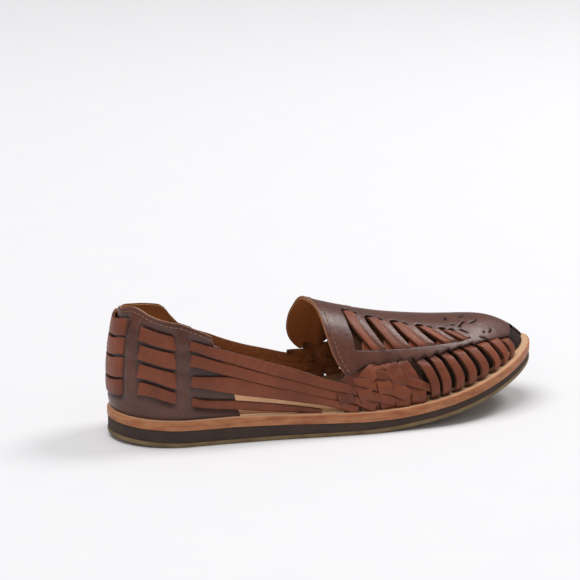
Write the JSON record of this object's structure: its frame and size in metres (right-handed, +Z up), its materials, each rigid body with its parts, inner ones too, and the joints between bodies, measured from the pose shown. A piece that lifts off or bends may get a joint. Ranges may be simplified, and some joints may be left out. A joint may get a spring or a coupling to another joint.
{
  "type": "huarache sandal",
  "caption": "Right-foot flat sandal with an open weave of leather straps, a peep toe, a closed heel counter, and a stacked leather and rubber sole.",
  "frame": {"origin": "on the floor, under the middle of the shoe's bounding box", "axes": "+X from heel to toe, +Y to the inner (medial) side of the right foot, +Z up"},
  "size_m": [0.2622, 0.0872, 0.0794],
  "materials": {
    "gum_rubber": "matt olive gum rubber with a fine moulded grain",
    "dark_rubber": "matt dark brown rubber, buffed edge",
    "sole_leather": "vegetable-tanned stacked leather, waxed orange-tan edge",
    "footbed_leather": "pale smooth lining leather",
    "strap_leather": "mid red-brown strap leather, satin, raw cut edges",
    "smooth_leather": "dark brown smooth leather, satin, light cut edge"
  },
  "bodies": {
    "root": {"outsole": "gum_rubber", "midsole": "dark_rubber", "leather_sole": "sole_leather", "footbed": "footbed_leather", "upper": "strap_leather", "vamp_plug": "smooth_leather", "heel_counter": "smooth_leather"}
  },
  "joints": []
}
